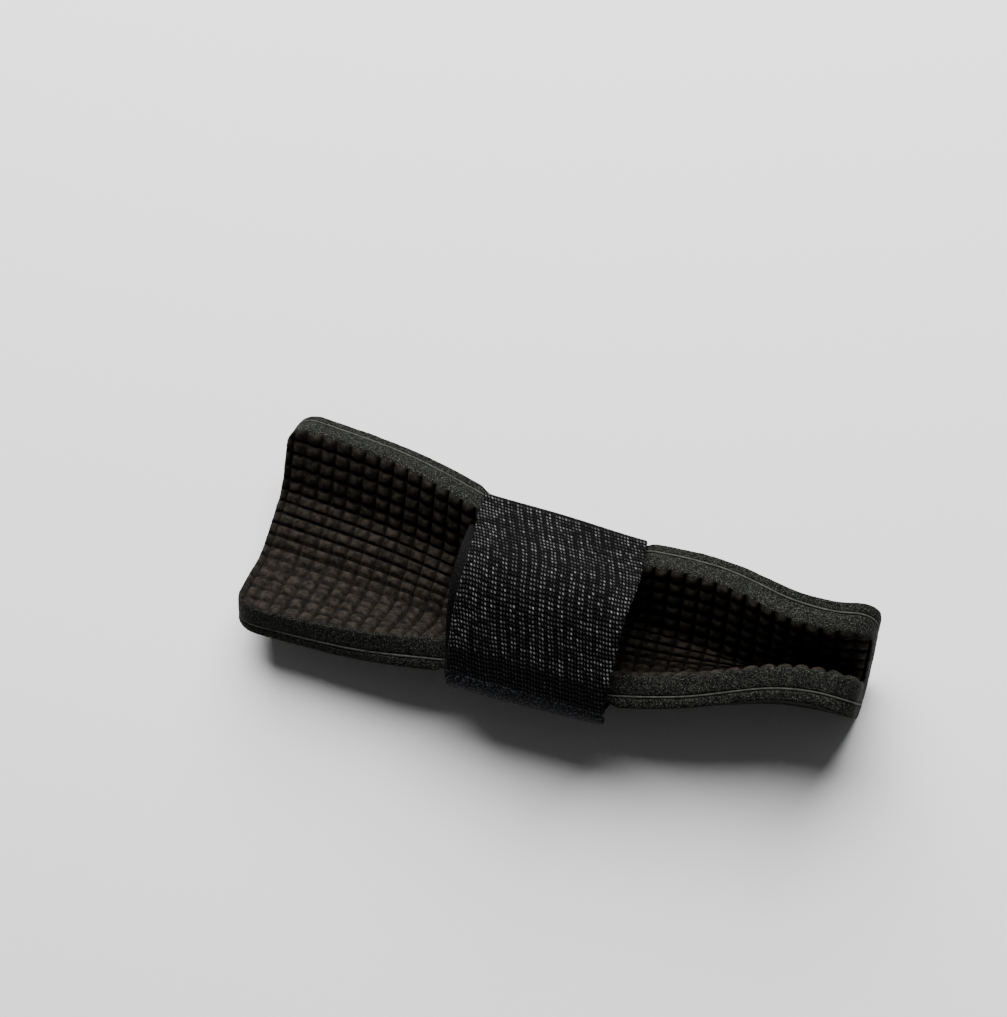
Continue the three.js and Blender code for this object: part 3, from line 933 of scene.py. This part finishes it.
def webbing():
    """Woven webbing: rows of short floats, plain at both borders and in slanting groups of three
    between them, with painted highlights on the floats that are dimmed by painted shade where the
    strap turns down over the near wall, and a dark loop pile on the first lead and at the lap's
    end, with a painted sheen on it low on the near side."""
    graph = Graph("webbing", roughness=0.55, shine=0.04)
    places = graph.places()
    coordinates = graph.tree.nodes.new("ShaderNodeUVMap")
    coordinates.uv_map = "course"
    split = graph.node("ShaderNodeSeparateXYZ", Vector=coordinates.outputs[0])
    across, along = split.outputs[0], split.outputs[1]
    stray = graph.math("SUBTRACT", graph.noise(places, per_mm=0.5), 0.5)
    stray = graph.math("MULTIPLY", stray, STRAY)
    rows = graph.math("DIVIDE", along, ROW_PITCH)
    row_number = graph.math("FLOOR", rows)
    row_share = graph.math("FRACT", rows)
    # Each row is moved sideways a little from the one before, and its floats lean the same way
    shifted = graph.math("MULTIPLY_ADD", row_number, -ROW_SHIFT, across)
    from_middle = graph.math("SUBTRACT", row_share, 0.5)
    leaning = graph.math("MULTIPLY_ADD", from_middle, -FLOAT_TILT, shifted)
    floats = graph.math("DIVIDE", graph.math("ADD", leaning, stray), FLOAT_PITCH)
    float_number = graph.math("FLOOR", floats)
    float_share = graph.math("FRACT", floats)
    row_dome = graph.math("SINE", graph.math("MULTIPLY", row_share, math.pi))
    float_dome = graph.math("SINE", graph.math("MULTIPLY", float_share, math.pi))
    row_rise = graph.ramp(row_dome, 0.1, 0.9)
    dome = graph.math("MULTIPLY", row_rise, graph.ramp(float_dome, 0.05, 0.95))
    # Between the borders one float of each group lies low, less so where the strap is worn
    border = STRAP_WIDTH / 2 - BORDER_WIDTH
    middle = graph.ramp(graph.math("ABSOLUTE", across), border + BORDER_BLUR, border - BORDER_BLUR)
    groups = graph.math("DIVIDE", graph.math("ADD", float_number, 0.5), GROUP_FLOATS)
    low_float = graph.ramp(graph.math("FRACT", groups), 0.4, 0.3)
    worn = graph.ramp(graph.noise(places, per_mm=0.35), 0.3, 0.75, out_low=1.0, out_high=0.3)
    gap = graph.math("MULTIPLY", graph.math("MULTIPLY", low_float, middle), worn)
    sunk = graph.math("MULTIPLY", gap, LOW_FLOAT_DEPTH)
    lift = graph.math("MULTIPLY", dome, graph.math("SUBTRACT", 1.0, sunk))
    # Painted highlights: how brightly each float and each group of floats is painted as catching the
    # light
    cell = graph.node("ShaderNodeCombineXYZ", X=float_number, Y=row_number)
    chance = graph.node("ShaderNodeTexWhiteNoise", Vector=cell.outputs[0]).outputs["Value"]
    group_number = graph.math("FLOOR", groups)
    group_cell = graph.node("ShaderNodeCombineXYZ", X=group_number, Y=row_number, Z=GROUP_SEED)
    group_noise = graph.node("ShaderNodeTexWhiteNoise", Vector=group_cell.outputs[0])
    group_chance = group_noise.outputs["Value"]
    single = graph.math("MULTIPLY_ADD", graph.math("POWER", chance, 4.0), 0.7, 0.04)
    glint = graph.math("MULTIPLY_ADD", graph.math("POWER", group_chance, 2.0), 0.34, single)
    # Painted shade: the painted highlights are dimmed where the strap turns down over the near wall,
    # away from the key light
    side = graph.node("ShaderNodeSeparateXYZ", Vector=places).outputs[1]
    turn_shade = graph.ramp(side, TURN_DARK_Y, TURN_STARTS_Y, out_low=0.13)
    glint = graph.math("MULTIPLY", glint, turn_shade)
    shine = graph.math("MULTIPLY", graph.ramp(lift, 0.5, 1.0), glint)
    woven = graph.mix(shine, WEAVE_DARK, WEAVE_GLINT)
    # Loop pile, with a paler painted sheen at the lap's end, low on the near side, than on the lead
    pile = graph.number("pile")
    fuzz = graph.noise(places, per_mm=3.2, detail=4.0)
    above_sheen = graph.ramp(side, NEAR_PILE_Y, TURN_DARK_Y)
    pile_light_and_sheen = graph.mix(above_sheen, END_PILE_SHEEN, PILE_LIGHT)
    pile_colour = graph.mix(graph.ramp(fuzz, 0.45, 0.8), PILE_DARK, pile_light_and_sheen)
    graph.colour(graph.mix(pile, woven, pile_colour))
    woven_height = graph.math("MULTIPLY", lift, graph.math("SUBTRACT", 1.0, pile))
    pile_height = graph.math("MULTIPLY", fuzz, pile)
    graph.bump(graph.math("MULTIPLY_ADD", pile_height, PILE_RISE, woven_height), depth=0.2)
    return graph.material


# Pieces

outer_pad, core, inner_pad = make_panel()
strap, strap_length = make_strap()
for piece, node, slot_name, material in (
    (outer_pad, "outer_pad", "outer_foam", outer_foam()),
    (core, "core_sheet", "core", core_grey()),
    (inner_pad, "inner_pad", "inner_foam", inner_foam()),
    (strap, "strap", "webbing", webbing()),
):
    piece.data.materials.append(material)
    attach(piece, "root")
    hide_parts(node)


# Camera, floor and light

CAMERA_PLACE = Vector((64.727, -52.303, 400.128)) * METRES
CAMERA_RIGHT = Vector((0.94763, 0.28722, -0.13962))
CAMERA_UP = Vector((-0.25617, 0.94471, 0.20471))
CAMERA_LENS = 92.822

FLOOR_REACH = 3.0
FLOOR_WHITE = rgba(0.93, 0.93, 0.93)
SKY_STRENGTH = 0.14
SKY_DARK_SIDE = -1.0
SKY_BRIGHT_SIDE = 0.8
SKY_DARK_SHARE = 0.15

KEY_PLACE = (-0.10, 0.44, 0.45)
KEY_SIZE = 0.7
KEY_POWER = 14.5


def make_camera():
    data = bpy.data.cameras.new("camera")
    data.lens = CAMERA_LENS
    camera = bpy.data.objects.new("camera", data)
    bpy.context.scene.collection.objects.link(camera)
    right = CAMERA_RIGHT.normalized()
    back = right.cross(CAMERA_UP).normalized()
    up = back.cross(right)
    turned = Matrix((right, up, back)).transposed().to_4x4()
    camera.matrix_world = Matrix.Translation(CAMERA_PLACE) @ turned
    bpy.context.scene.camera = camera


def make_light(name, place, size, power):
    data = bpy.data.lights.new(name, "AREA")
    data.shape = "DISK"
    data.size = size
    data.energy = power
    lamp = bpy.data.objects.new(name, data)
    lamp.location = place
    towards_splint = -Vector(place)
    lamp.rotation_euler = towards_splint.to_track_quat("-Z", "Y").to_euler()
    bpy.context.scene.collection.objects.link(lamp)


def make_floor():
    mesh = bpy.data.meshes.new("floor")
    reach = FLOOR_REACH
    corners = [(-reach, -reach, 0), (reach, -reach, 0), (reach, reach, 0), (-reach, reach, 0)]
    mesh.from_pydata(corners, [], [(0, 1, 2, 3)])
    floor = bpy.data.objects.new("floor", mesh)
    bpy.context.scene.collection.objects.link(floor)
    graph = Graph("floor", roughness=0.9, shine=0.0)
    graph.colour(FLOOR_WHITE)
    floor.data.materials.append(graph.material)


def make_sky():
    """Soft light from all round, stronger from the far side of the splint."""
    world = bpy.data.worlds.new("studio")
    world.use_nodes = True
    tree = world.node_tree
    tree.nodes["Background"].inputs["Strength"].default_value = SKY_STRENGTH
    coordinates = tree.nodes.new("ShaderNodeTexCoord")
    split = tree.nodes.new("ShaderNodeSeparateXYZ")
    shade = tree.nodes.new("ShaderNodeMapRange")
    shade.inputs["From Min"].default_value = SKY_DARK_SIDE
    shade.inputs["From Max"].default_value = SKY_BRIGHT_SIDE
    shade.inputs["To Min"].default_value = SKY_DARK_SHARE
    shade.inputs["To Max"].default_value = 1.0
    tree.links.new(coordinates.outputs["Generated"], split.inputs[0])
    tree.links.new(split.outputs[1], shade.inputs["Value"])
    tree.links.new(shade.outputs[0], tree.nodes["Background"].inputs["Color"])
    bpy.context.scene.world = world


make_camera()
make_floor()
make_sky()
make_light("key", KEY_PLACE, KEY_SIZE, KEY_POWER)
